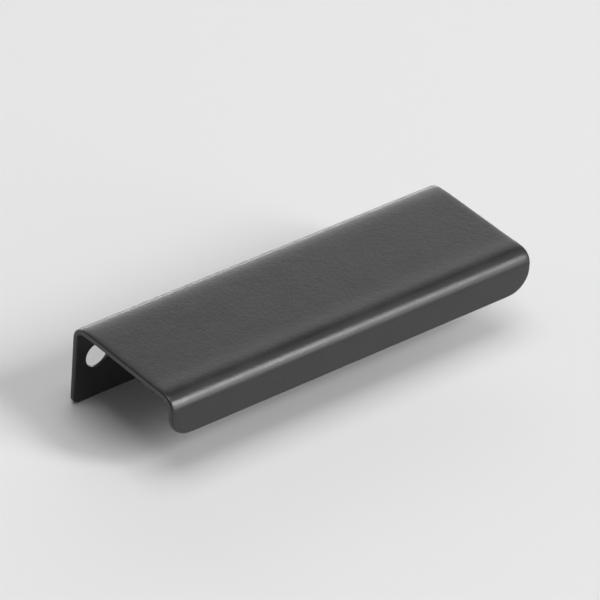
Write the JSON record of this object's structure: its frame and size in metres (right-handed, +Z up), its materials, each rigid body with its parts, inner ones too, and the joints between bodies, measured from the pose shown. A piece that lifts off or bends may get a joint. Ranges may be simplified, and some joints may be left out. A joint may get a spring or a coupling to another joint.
{
  "type": "tab pull",
  "caption": "Black coated tab pull folded from one sheet, with a screw flange behind the door, a flat top over its edge and a rounded finger lip in front.",
  "frame": {"origin": "midway between the two screw holes, on the flange face that meets the back of the door", "axes": "+X along the door's edge, +Y towards the inside of the cabinet, so the lip is on the -Y side, +Z up through the flat top"},
  "size_m": [0.109, 0.038, 0.023],
  "materials": {
    "black_coat": "satin black powder coat with a fine orange peel"
  },
  "bodies": {
    "root": {"pull_body": "black_coat"}
  },
  "joints": []
}
